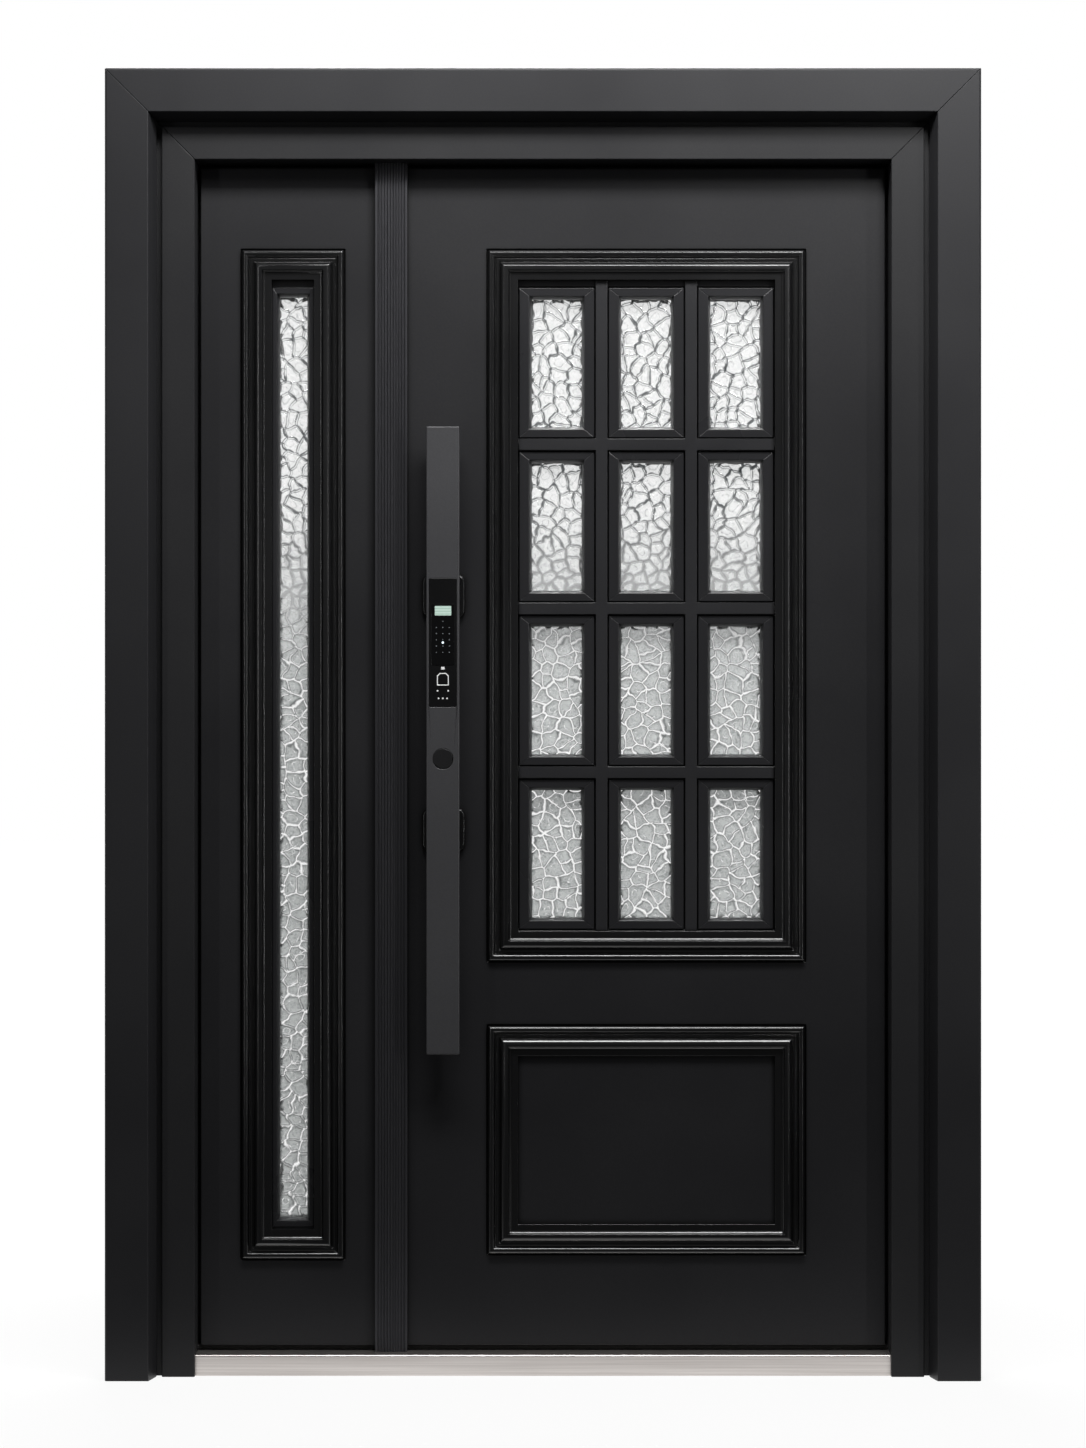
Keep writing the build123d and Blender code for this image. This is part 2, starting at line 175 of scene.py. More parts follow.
# Mullion strip: a ribbed aluminium extrusion screwed to the post from behind, which covers
# the meeting edges of both leaves. Its anodised dark grey shows fine lines along its length.
mullion_edge = 0.0009
mullion_grey = "#3e3e41"
mullion_pale = "#4c4c4f"
mullion_finish, mullion_tree, mullion_surface, mullion_place = new_material("anodised_mullion")
mullion_stretch = add(mullion_tree, "ShaderNodeMapping", {
    "Vector": mullion_place, "Scale": (1 / 0.0025, 1 / 0.0025, 1 / 0.6)})
mullion_lines = add(mullion_tree, "ShaderNodeTexNoise", {
    "Vector": mullion_stretch, "Scale": 1.0, "Detail": 3.0})
mullion_tint = add(mullion_tree, "ShaderNodeMix", {
    "Factor": mullion_lines, "A": linear(mullion_grey), "B": linear(mullion_pale)}, data_type="RGBA")
mullion_tree.links.new(mullion_tint.outputs[2], mullion_surface.inputs["Base Color"])
mullion_gloss = add(mullion_tree, "ShaderNodeMapRange", {
    "Value": mullion_lines, "To Min": 0.42, "To Max": 0.56})
mullion_tree.links.new(mullion_gloss.outputs["Result"], mullion_surface.inputs["Roughness"])
mullion_surface.inputs["Metallic"].default_value = 0.85
finish_node("mullion_strip", mullion_finish, mullion_edge)

# Sill: a folded stainless steel threshold with a rounded nose, brushed along its length
# to a soft sheen, and screwed down between the jambs before the casing goes on.
sill_edge = 0.0004
sill_steel = "#fbf5f1"
sill_shade = "#c2bbb6"
sill_finish, sill_tree, sill_surface, sill_place = new_material("brushed_stainless_steel")
# The strokes of a real brush are under a millimetre apart, and are drawn 3 mm apart so that they show
sill_stroke = (0.35, 0.003)
sill_stretch = add(sill_tree, "ShaderNodeMapping", {
    "Vector": sill_place, "Scale": (1 / sill_stroke[0], 1 / sill_stroke[1], 1 / sill_stroke[1])})
sill_lines = add(sill_tree, "ShaderNodeTexNoise", {"Vector": sill_stretch, "Scale": 1.0, "Detail": 5.0})
sill_tint = add(sill_tree, "ShaderNodeMix", {
    "Factor": sill_lines, "A": linear(sill_steel), "B": linear(sill_shade)}, data_type="RGBA")
sill_tree.links.new(sill_tint.outputs[2], sill_surface.inputs["Base Color"])
sill_gloss = add(sill_tree, "ShaderNodeMapRange", {"Value": sill_lines, "To Min": 0.28, "To Max": 0.46})
sill_tree.links.new(sill_gloss.outputs["Result"], sill_surface.inputs["Roughness"])
sill_brush = add(sill_tree, "ShaderNodeBump", {"Height": sill_lines, "Strength": 0.2, "Distance": 0.0003})
sill_tree.links.new(sill_brush.outputs["Normal"], sill_surface.inputs["Normal"])
sill_surface.inputs["Metallic"].default_value = 1.0
finish_node("sill", sill_finish, sill_edge)

# Leaves: the wide main leaf and the narrow side leaf, each a pair of cast aluminium skins
# on a core, flanged at the back to lap the frame, and powder coated in one piece.
leaf_edge = 0.0012
# The coat is darkened as painted shade in its grooves and corners, within 12 mm of other surfaces
leaf_coat = powder_coat("powder_coat_leaf", "#202022", "#252527", 0.47, 0.3, 0.25, 0.012)
for name in ("main_leaf", "side_leaf"):
    finish_node(name, leaf_coat, leaf_edge)

# Bead mouldings round the windows and the lower panel: cast lengths with a bead, a fillet, an ovolo and a
# hollow, mitred at the corners and fixed from inside. Their gloss black coat draws a thin line of light
# along each round, and none in the hollows, whose colour is also darkened within 12 mm as painted shade.
moulding_edge = 0.0006
moulding_coat = powder_coat("powder_coat_moulding", "#0f0f10", "#131314", 0.22, 0.9, 0.0, 0.012)
for name in ("window_moulding", "panel_moulding", "slit_moulding"):
    finish_node(name + "_front", moulding_coat, moulding_edge)
    finish_node(name + "_back", moulding_coat, moulding_edge)

# Window grids: flat cast plates with a bevelled opening for each pane and raised muntins
# between them, let into the leaf from each side so that they clamp the glass.
grid_edge = 0.0012
# The coat is darkened as painted shade in the recesses round the panes, within 8 mm of other surfaces
grid_coat = powder_coat("powder_coat_grid", "#272729", "#2c2c2e", 0.36, 0.45, 0.25, 0.008)
for name in ("window_grid", "slit_frame"):
    finish_node(name + "_front", grid_coat, grid_edge)
    finish_node(name + "_back", grid_coat, grid_edge)

# Glass: cast privacy glass, rolled with an irregular net of ridges on both faces.
# Twelve panes fill the main window and one long pane the slit, all clamped by the grids. The colours change
# with height: the ridges are painted white low down as painted highlight and dark higher up as painted
# shade, the body is painted whiter higher up as painted light from behind, and the ridges' flanks are
# painted darker low down as painted shade.
pane_columns = (0.024833, 0.1855, 0.346167)
pane_rows = (0.928125, 1.222375, 1.516625, 1.810875)
pane_size = (0.0961, 0.2363)
slit_centre = (-0.4485, 1.10225)
slit_size = (0.0555, 1.6615)
glass_front, glass_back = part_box("window_glass")[0].y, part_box("window_glass")[1].y
glass_cell = 0.024
glass_ring = 0.0062


def cell_edges(tree, place):
    """A point's distances from the nearest line of the net and from the ring in its cell, in metres.

    The point's flat place on the pane comes third."""
    spot = add(tree, "ShaderNodeSeparateXYZ", {"Vector": place})
    flat = add(tree, "ShaderNodeCombineXYZ", {"X": spot.outputs["X"], "Y": spot.outputs["Z"]})
    bent = flat
    for span, sway in ((0.070, 0.026), (0.022, 0.011)):
        wander = add(tree, "ShaderNodeTexNoise", {
            "Vector": flat, "Scale": 1 / span, "Detail": 1.0}, noise_dimensions="2D")
        drift = add(tree, "ShaderNodeVectorMath", {
            0: wander.outputs["Color"], 1: (0.5, 0.5, 0.5)}, operation="SUBTRACT")
        shift = add(tree, "ShaderNodeVectorMath", {0: drift, "Scale": sway}, operation="SCALE")
        bent = add(tree, "ShaderNodeVectorMath", {0: bent, 1: shift}, operation="ADD")
    near, border = [add(tree, "ShaderNodeTexVoronoi", {
        "Vector": bent, "Scale": 1 / glass_cell, "Randomness": 0.9},
        voronoi_dimensions="2D", feature=feature) for feature in ("F1", "DISTANCE_TO_EDGE")]
    edge = add(tree, "ShaderNodeMath", {0: border.outputs["Distance"], 1: glass_cell}, operation="MULTIPLY")
    reach = add(tree, "ShaderNodeMath", {0: near.outputs["Distance"], 1: glass_cell}, operation="MULTIPLY")
    ring = add(tree, "ShaderNodeMath", {0: reach, 1: glass_ring}, operation="SUBTRACT")
    return edge, add(tree, "ShaderNodeMath", {0: ring}, operation="ABSOLUTE"), flat


glass, glass_tree, glass_surface, glass_place = new_material("cast_privacy_glass")
glass_edge, glass_halo, glass_flat = cell_edges(glass_tree, glass_place)
glass_height = add(glass_tree, "ShaderNodeSeparateXYZ", {"Vector": glass_place})
glass_upper = add(glass_tree, "ShaderNodeMapRange", {
    "Value": glass_height.outputs["Z"], "From Min": 1.2, "From Max": 1.6}, interpolation_type="SMOOTHSTEP")
glass_swirl = add(glass_tree, "ShaderNodeTexNoise", {
    "Vector": glass_flat, "Scale": 1 / 0.011, "Detail": 4.0, "Distortion": 1.2}, noise_dimensions="2D")
glass_patch = add(glass_tree, "ShaderNodeMapRange", {
    "Value": glass_swirl, "From Min": 0.35, "From Max": 0.65})
glass_wide = add(glass_tree, "ShaderNodeMapRange", {
    "Value": glass_upper, "To Min": 0.0023, "To Max": 0.0010})
glass_line = add(glass_tree, "ShaderNodeMapRange", {
    "Value": glass_edge, "From Min": 0.0003, "From Max": glass_wide.outputs["Result"],
    "To Min": 1.0, "To Max": 0.0}, interpolation_type="SMOOTHSTEP")
glass_faint = add(glass_tree, "ShaderNodeMapRange", {"Value": glass_upper, "To Min": 0.85, "To Max": 0.22})
glass_circle = add(glass_tree, "ShaderNodeMapRange", {
    "Value": glass_halo, "From Min": 0.0003, "From Max": 0.0012, "To Min": glass_faint.outputs["Result"],
    "To Max": 0.0}, interpolation_type="SMOOTHSTEP")
glass_arc = add(glass_tree, "ShaderNodeMath", {
    0: glass_circle, 1: glass_patch.outputs["Result"]}, operation="MULTIPLY")
glass_drawn = add(glass_tree, "ShaderNodeMath", {0: glass_line, 1: glass_arc}, operation="MAXIMUM")
glass_near = add(glass_tree, "ShaderNodeMapRange", {
    "Value": glass_edge, "From Min": 0.0018, "From Max": 0.0042, "To Min": 1.0, "To Max": 0.0},
    interpolation_type="SMOOTHSTEP")
glass_grain = add(glass_tree, "ShaderNodeTexNoise", {
    "Vector": glass_flat, "Scale": 1 / 0.0035, "Detail": 2.0}, noise_dimensions="2D")
glass_mottle = add(glass_tree, "ShaderNodeMapRange", {
    "Value": glass_grain, "From Min": 0.3, "From Max": 0.7})
glass_cloud = add(glass_tree, "ShaderNodeMath", {0: glass_patch, 1: glass_mottle}, operation="MULTIPLY")
# Body of the glass: a random mottle of greys low down and near white higher up; the whiteness higher up is
# painted light from behind
glass_low = add(glass_tree, "ShaderNodeMix", {
    "Factor": glass_cloud, "A": linear("#e8ebea"), "B": linear("#a2a6a6")}, data_type="RGBA")
glass_high = add(glass_tree, "ShaderNodeMix", {
    "Factor": glass_patch, "A": linear("#ffffff"), "B": linear("#f4f5f5")}, data_type="RGBA")
glass_body_and_backlight = add(glass_tree, "ShaderNodeMix", {
    "Factor": glass_upper, "A": glass_low.outputs[2], "B": glass_high.outputs[2]}, data_type="RGBA")
# Painted shade beside each ridge: darker grey low down, near white higher up
glass_flank_shade = add(glass_tree, "ShaderNodeMix", {
    "Factor": glass_upper, "A": linear("#7e8282"), "B": linear("#f2f3f3")}, data_type="RGBA")
# Ridge lines: white low down as painted highlight, dark grey higher up as painted shade
glass_ridge_light_and_shade = add(glass_tree, "ShaderNodeMix", {
    "Factor": glass_upper, "A": linear("#ffffff"), "B": linear("#4a4e50")}, data_type="RGBA")
glass_slope = add(glass_tree, "ShaderNodeMix", {
    "Factor": glass_near, "A": glass_body_and_backlight.outputs[2], "B": glass_flank_shade.outputs[2]}, data_type="RGBA")
glass_tint = add(glass_tree, "ShaderNodeMix", {
    "Factor": glass_drawn, "A": glass_slope.outputs[2], "B": glass_ridge_light_and_shade.outputs[2]}, data_type="RGBA")
glass_tree.links.new(glass_tint.outputs[2], glass_surface.inputs["Base Color"])
glass_frost = add(glass_tree, "ShaderNodeMapRange", {"Value": glass_upper, "To Min": 0.24, "To Max": 0.05})
glass_gloss = add(glass_tree, "ShaderNodeMapRange", {
    "Value": glass_drawn, "To Min": glass_frost.outputs["Result"], "To Max": 0.08})
glass_tree.links.new(glass_gloss.outputs["Result"], glass_surface.inputs["Roughness"])
glass_open = add(glass_tree, "ShaderNodeMapRange", {"Value": glass_upper, "To Min": 0.58, "To Max": 0.88})
glass_clear = add(glass_tree, "ShaderNodeMapRange", {"Value": glass_upper, "To Min": 0.92, "To Max": 0.55})
glass_through = add(glass_tree, "ShaderNodeMapRange", {
    "Value": glass_drawn, "To Min": glass_open.outputs["Result"], "To Max": glass_clear.outputs["Result"]})
glass_tree.links.new(glass_through.outputs["Result"], glass_surface.inputs["Transmission Weight"])
glass_surface.inputs["IOR"].default_value = 1.5


def relief_tree():
    """Geometry Nodes that put a closed slab of glass on each point and press the net into both faces."""
    tree = bpy.data.node_groups.new("relief_glass", "GeometryNodeTree")
    sockets = [
        ("Geometry", "NodeSocketGeometry"), ("Width", "NodeSocketFloat"), ("Height", "NodeSocketFloat"),
        ("Thickness", "NodeSocketFloat"), ("Middle", "NodeSocketFloat"), ("Step", "NodeSocketFloat"),
        ("Ridge Height", "NodeSocketFloat"), ("Ridge Width", "NodeSocketFloat"),
        ("Glass", "NodeSocketMaterial")]
    for name, kind in sockets:
        tree.interface.new_socket(name, in_out="INPUT", socket_type=kind)
    tree.interface.new_socket("Geometry", in_out="OUTPUT", socket_type="NodeSocketGeometry")
    given = add(tree, "NodeGroupInput").outputs
    across = add(tree, "ShaderNodeMath", {0: given["Width"], 1: given["Step"]}, operation="DIVIDE")
    along = add(tree, "ShaderNodeMath", {0: given["Height"], 1: given["Step"]}, operation="DIVIDE")
    size = add(tree, "ShaderNodeCombineXYZ", {
        "X": given["Width"], "Y": given["Thickness"], "Z": given["Height"]})
    slab = add(tree, "GeometryNodeMeshCube", {
        "Size": size, "Vertices X": across, "Vertices Y": 2, "Vertices Z": along})
    panes = add(tree, "GeometryNodeInstanceOnPoints", {
        "Points": given["Geometry"], "Instance": slab.outputs["Mesh"]})
    real = add(tree, "GeometryNodeRealizeInstances", {"Geometry": panes})
    place = add(tree, "GeometryNodeInputPosition").outputs["Position"]
    edge, _, _ = cell_edges(tree, place)
    hollow = add(tree, "ShaderNodeMapRange", {
        "Value": edge, "From Min": 0.0, "From Max": given["Ridge Width"],
        "To Min": 0.0, "To Max": given["Ridge Height"]}, interpolation_type="SMOOTHSTEP")
    depth = add(tree, "ShaderNodeSeparateXYZ", {"Vector": place})
    inward = add(tree, "ShaderNodeMath", {0: given["Middle"], 1: depth.outputs["Y"]}, operation="SUBTRACT")
    side = add(tree, "ShaderNodeMath", {0: inward}, operation="SIGN")
    press = add(tree, "ShaderNodeMath", {0: hollow, 1: side}, operation="MULTIPLY")
    offset = add(tree, "ShaderNodeCombineXYZ", {"Y": press})
    pressed = add(tree, "GeometryNodeSetPosition", {"Geometry": real, "Offset": offset})
    smooth = add(tree, "GeometryNodeSetShadeSmooth", {"Geometry": pressed, "Shade Smooth": True})
    dressed = add(tree, "GeometryNodeSetMaterial", {"Geometry": smooth, "Material": given["Glass"]})
    add(tree, "NodeGroupOutput", {"Geometry": dressed})
    return tree


def grown(name, points, tree, sizes):
    """A plain mesh object grown by a Geometry Nodes tree on the given points."""
    mesh = bpy.data.meshes.new(name + "_points")
    mesh.from_pydata(points, [], [])
    seed = bpy.data.objects.new(name + "_points", mesh)
    bpy.context.scene.collection.objects.link(seed)
    modifier = seed.modifiers.new("grow", "NODES")
    modifier.node_group = tree
    for socket in tree.interface.items_tree:
        if socket.in_out == "INPUT" and socket.name in sizes:
            modifier[socket.identifier] = sizes[socket.name]
    evaluated = seed.evaluated_get(bpy.context.evaluated_depsgraph_get())
    made = bpy.data.meshes.new_from_object(evaluated)
    made.name = name
    seed.modifiers.remove(modifier)
    bpy.data.objects.remove(seed)
    piece = bpy.data.objects.new(name, made)
    bpy.context.scene.collection.objects.link(piece)
    return piece


relief_glass = relief_tree()
glass_middle = (glass_front + glass_back) / 2
glass_sizes = {
    "Thickness": glass_back - glass_front, "Middle": glass_middle, "Step": 0.0019,
    "Ridge Height": 0.0016, "Ridge Width": 0.0050, "Glass": glass}
for name, rows in (("lower_panes", pane_rows[:2]), ("upper_panes", pane_rows[2:])):
    centres = [(x, glass_middle, z) for z in rows for x in pane_columns]
    panes = grown(name, centres, relief_glass, {
        **glass_sizes, "Width": pane_size[0], "Height": pane_size[1]})
    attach(panes, "main_leaf")
    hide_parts("window_glass")
slit_pane = grown("slit_pane", [(slit_centre[0], glass_middle, slit_centre[1])], relief_glass, {
    **glass_sizes, "Width": slit_size[0], "Height": slit_size[1]})
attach(slit_pane, "side_leaf")
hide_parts("slit_glass")

# Pane frames: four flat mitred strips of coated aluminium round each pane, on both faces
# of the grid and of the slit's plate, pressed on last to cover the edge of the glass.
pane_mouth = (0.099067, 0.23925)
pane_border = (0.0177, 0.0144)
slit_mouth = (0.0585, 1.6645)
slit_border = (0.0075, 0.0110)
strip_edge = 0.0008
strip_levels = (("front", 0.0446, 0.0462), ("back", 0.1154, 0.1138))


def mitred_strips(name, mouth, border, front, back, edge):
    """Four mitred strips round a mouth, about the origin, with their edges broken."""
    mesh = bmesh.new()
    inner = [(sx * mouth[0] / 2, sz * mouth[1] / 2) for sx, sz in ((-1, -1), (1, -1), (1, 1), (-1, 1))]
    outer = [(x + math.copysign(border[0], x), z + math.copysign(border[1], z)) for x, z in inner]
    for i in range(4):
        j = (i + 1) % 4
        corners = [outer[i], outer[j], inner[j], inner[i]]
        face = mesh.faces.new([mesh.verts.new((x, back, z)) for x, z in corners])
        raised = bmesh.ops.extrude_face_region(mesh, geom=[face])
        top = [v for v in raised["geom"] if isinstance(v, bmesh.types.BMVert)]
        bmesh.ops.translate(mesh, verts=top, vec=(0, front - back, 0))
    bmesh.ops.recalc_face_normals(mesh, faces=mesh.faces)
    rim = [e for e in mesh.edges if all(abs(v.co.y - front) < 1e-6 for v in e.verts)]
    bmesh.ops.bevel(mesh, geom=rim, offset=edge, segments=2, affect="EDGES", profile=0.5)
    made = bpy.data.meshes.new(name)
    mesh.to_mesh(made)
    mesh.free()
    return bpy.data.objects.new(name, made)


def repeat_tree():
    """Geometry Nodes that repeat one object on every point."""
    tree = bpy.data.node_groups.new("repeat_on_points", "GeometryNodeTree")
    for name, kind in (("Geometry", "Geometry"), ("Piece", "Object"), ("Finish", "Material")):
        tree.interface.new_socket(name, in_out="INPUT", socket_type="NodeSocket" + kind)
    tree.interface.new_socket("Geometry", in_out="OUTPUT", socket_type="NodeSocketGeometry")
    given = add(tree, "NodeGroupInput").outputs
    piece = add(tree, "GeometryNodeObjectInfo", {"Object": given["Piece"]})
    copies = add(tree, "GeometryNodeInstanceOnPoints", {
        "Points": given["Geometry"], "Instance": piece.outputs["Geometry"]})
    real = add(tree, "GeometryNodeRealizeInstances", {"Geometry": copies})
    dressed = add(tree, "GeometryNodeSetMaterial", {"Geometry": real, "Material": given["Finish"]})
    add(tree, "NodeGroupOutput", {"Geometry": dressed})
    return tree


repeat_on_points = repeat_tree()
pane_coat = powder_coat("powder_coat_pane_frame", "#242426", "#29292b", 0.30, 0.45)
for face, front, back in strip_levels:
    strips = mitred_strips("pane_strips", pane_mouth, pane_border, front, back, strip_edge)
    centres = [(x, 0.0, z) for z in pane_rows for x in pane_columns]
    made = grown("pane_frames_" + face, centres, repeat_on_points, {"Piece": strips, "Finish": pane_coat})
    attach(made, "main_leaf")
    bpy.data.objects.remove(strips)
    strips = mitred_strips("slit_strips", slit_mouth, slit_border, front, back, strip_edge)
    centres = [(slit_centre[0], 0.0, slit_centre[1])]
    made = grown("slit_strips_" + face, centres, repeat_on_points, {"Piece": strips, "Finish": pane_coat})
    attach(made, "side_leaf")
    bpy.data.objects.remove(strips)

# Drop seals: two black rubber blades on broad feet, extruded and pushed into the lower edge
# of each leaf, which close the gap over the sill and stay just clear of it.
seal_fronts = (0.044, 0.086)
seal_end_gap = 0.0015
seal_sill_gap = 0.001
seal_sink = 0.0003
seal_edge = 0.0004
seal_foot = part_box("main_leaf")[0].z + seal_sink
seal_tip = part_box("sill")[1].z + seal_sill_gap
seal_profile = ((0.0, 1.0), (0.014, 1.0), (0.014, 0.74), (0.009, 0.62), (0.0075, 0.0), (0.0035, 0.0),
                (0.0020, 0.40), (0.0, 0.62))
seal_rubber = powder_coat("black_rubber", "#0a0a0a", "#0e0e0e", 0.7, 0.2)
main_box, side_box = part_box("main_leaf"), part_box("side_leaf")
left_face, right_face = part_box("jamb_left")[1].x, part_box("jamb_right")[0].x
seal_spans = (
    ("main_leaf_seal", "main_leaf", ((main_box[0].x, right_face), (main_box[0].x, main_box[1].x))),
    ("side_leaf_seal", "side_leaf", ((left_face, side_box[1].x), (side_box[0].x, side_box[1].x))))
for name, body, spans in seal_spans:
    mesh = bmesh.new()
    for front, (left, right) in zip(seal_fronts, spans):
        ring = [mesh.verts.new((left + seal_end_gap, front + y, seal_tip + share * (seal_foot - seal_tip)))
                for y, share in seal_profile]
        raised = bmesh.ops.extrude_face_region(mesh, geom=[mesh.faces.new(ring)])
        far_end = [v for v in raised["geom"] if isinstance(v, bmesh.types.BMVert)]
        bmesh.ops.translate(mesh, verts=far_end, vec=(right - left - 2 * seal_end_gap, 0, 0))
    bmesh.ops.recalc_face_normals(mesh, faces=mesh.faces)
    bmesh.ops.bevel(mesh, geom=mesh.edges, offset=seal_edge, segments=2, affect="EDGES", profile=0.5)
    made = bpy.data.meshes.new(name)
    mesh.to_mesh(made)
    mesh.free()
    made.materials.append(seal_rubber)
    seal = bpy.data.objects.new(name, made)
    bpy.context.scene.collection.objects.link(seal)
    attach(seal, body)

# Pull handles: a flat aluminium bar on each side of the main leaf, on square posts with
# rounded square roses, bead blasted and anodised dark grey, and bolted through the leaf.
pull_edge = 0.0007
rose_edge = 0.0012
pull_grey = powder_coat("anodised_pull", "#434345", "#49494b", 0.34, 0.4)
for name in ("pull_front", "pull_back"):
    finish_node(name, pull_grey, pull_edge)
rose_black = powder_coat("anodised_rose", "#0f0f10", "#141415", 0.24, 0.5)
for name in ("pull_mounts_front", "pull_mounts_back"):
    finish_node(name, rose_black, rose_edge)

# Lock reader: a moulded ABS module let flush into the outer bar, with a glossy pane over a
# small display and a touch keypad, a fob mark below it and a thumb button under the module.
reader_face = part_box("lock_reader")[0].y
reader_middle = (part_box("lock_reader")[0].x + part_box("lock_reader")[1].x) / 2
reader_edge = 0.0006
button_edge = 0.0012
reader_shell = powder_coat("moulded_abs_black", "#0b0b0c", "#101011", 0.34)
finish_node("lock_reader", reader_shell, reader_edge)
button_shell = powder_coat("moulded_button_black", "#1c1c1d", "#212122", 0.40)
finish_node("lock_button", button_shell, button_edge, 3)


def plate(name, outlines, front, back, edge, material):
    """Thin plates with the given outlines of (x, z) points and rounded front edges, as one piece."""
    mesh = bmesh.new()
    for outline in outlines:
        face = mesh.faces.new([mesh.verts.new((x, back, z)) for x, z in outline])
        raised = bmesh.ops.extrude_face_region(mesh, geom=[face])
        top = [v for v in raised["geom"] if isinstance(v, bmesh.types.BMVert)]
        bmesh.ops.translate(mesh, verts=top, vec=(0, front - back, 0))
    bmesh.ops.recalc_face_normals(mesh, faces=mesh.faces)
    rim = [e for e in mesh.edges if all(abs(v.co.y - front) < 1e-6 for v in e.verts)]
    bmesh.ops.bevel(mesh, geom=rim, offset=edge, segments=2, affect="EDGES", profile=0.5)
    made = bpy.data.meshes.new(name)
    mesh.to_mesh(made)
    mesh.free()
    made.materials.append(material)
    piece = bpy.data.objects.new(name, made)
    bpy.context.scene.collection.objects.link(piece)
    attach(piece, "main_leaf")
    return piece


def rounded(x0, x1, z0, z1, radius, steps=6):
    """The outline of a rectangle with rounded corners, anticlockwise from the street."""
    outline = []
    corners = ((x1 - radius, z1 - radius, 0), (x0 + radius, z1 - radius, 90),
               (x0 + radius, z0 + radius, 180), (x1 - radius, z0 + radius, 270))
    for x, z, start in corners:
        for step in range(steps + 1):
            turn = math.radians(start + 90 * step / steps)
            outline.append((x + radius * math.cos(turn), z + radius * math.sin(turn)))
    return outline


# Smoked acrylic over the display and the keys: near black, with a clear gloss that finger smears dull
pane_gloss, pane_tree, pane_surface, pane_place = new_material("smoked_acrylic")
pane_smear = add(pane_tree, "ShaderNodeTexNoise", {"Vector": pane_place, "Scale": 1 / 0.02, "Detail": 3.0})
pane_shine = add(pane_tree, "ShaderNodeMapRange", {"Value": pane_smear, "To Min": 0.06, "To Max": 0.16})
pane_tree.links.new(pane_shine.outputs["Result"], pane_surface.inputs["Roughness"])
pane_surface.inputs["Base Color"].default_value = linear("#050506")
plate("reader_pane", [rounded(reader_middle - 0.0205, reader_middle + 0.0205, 1.2665, 1.3750, 0.0025)],
      reader_face - 0.0006, reader_face + 0.0005, 0.0004, pane_gloss)

# Liquid crystal display with a pale green backlight, which glows evenly behind faint rows
display_lit, display_tree, display_surface, display_place = new_material("backlit_display")
display_rows = add(display_tree, "ShaderNodeTexWave", {
    "Vector": display_place, "Scale": 1 / 0.016, "Distortion": 0.0}, bands_direction="Z")
display_tint = add(display_tree, "ShaderNodeMix", {
    "Factor": display_rows, "A": linear("#9fb9ac"), "B": linear("#b9cdc3")}, data_type="RGBA")
display_tree.links.new(display_tint.outputs[2], display_surface.inputs["Base Color"])
display_tree.links.new(display_tint.outputs[2], display_surface.inputs["Emission Color"])
display_surface.inputs["Emission Strength"].default_value = 0.38
display_surface.inputs["Roughness"].default_value = 0.3
plate("reader_display", [rounded(reader_middle - 0.0143, reader_middle + 0.0150, 1.3548, 1.3717, 0.0012)],
      reader_face - 0.0009, reader_face, 0.0002, display_lit)

# White pad print, lit a little from behind, so that the marks stand out on the black shell
print_white, print_tree, print_surface, print_place = new_material("pad_printed_white")
print_grain = add(print_tree, "ShaderNodeTexNoise", {"Vector": print_place, "Scale": 1 / 0.002})
print_tint = add(print_tree, "ShaderNodeMix", {
    "Factor": print_grain, "A": linear("#cfd0d0"), "B": linear("#f2f2f2")}, data_type="RGBA")
print_tree.links.new(print_tint.outputs[2], print_surface.inputs["Base Color"])
print_surface.inputs["Emission Color"].default_value = linear("#d8d8d8")
print_surface.inputs["Emission Strength"].default_value = 0.25
print_surface.inputs["Roughness"].default_value = 0.5


def dot_tree():
    """Geometry Nodes that set a small bevelled dot on each point."""
    tree = bpy.data.node_groups.new("keypad_dots", "GeometryNodeTree")
    tree.interface.new_socket("Geometry", in_out="INPUT", socket_type="NodeSocketGeometry")
    tree.interface.new_socket("Radius", in_out="INPUT", socket_type="NodeSocketFloat")
    tree.interface.new_socket("Rise", in_out="INPUT", socket_type="NodeSocketFloat")
    tree.interface.new_socket("Print", in_out="INPUT", socket_type="NodeSocketMaterial")
    tree.interface.new_socket("Geometry", in_out="OUTPUT", socket_type="NodeSocketGeometry")
    given = add(tree, "NodeGroupInput").outputs
    top = add(tree, "ShaderNodeMath", {0: given["Radius"], 1: 0.8}, operation="MULTIPLY")
    dot = add(tree, "GeometryNodeMeshCone", {
        "Vertices": 16, "Radius Top": top, "Radius Bottom": given["Radius"], "Depth": given["Rise"]})
    facing = add(tree, "GeometryNodeTransform", {
        "Geometry": dot.outputs["Mesh"], "Rotation": (math.radians(90), 0.0, 0.0)})
    dots = add(tree, "GeometryNodeInstanceOnPoints", {"Points": given["Geometry"], "Instance": facing})
    real = add(tree, "GeometryNodeRealizeInstances", {"Geometry": dots})
    dressed = add(tree, "GeometryNodeSetMaterial", {"Geometry": real, "Material": given["Print"]})
    add(tree, "NodeGroupOutput", {"Geometry": dressed})
    return tree


keypad_dots = dot_tree()
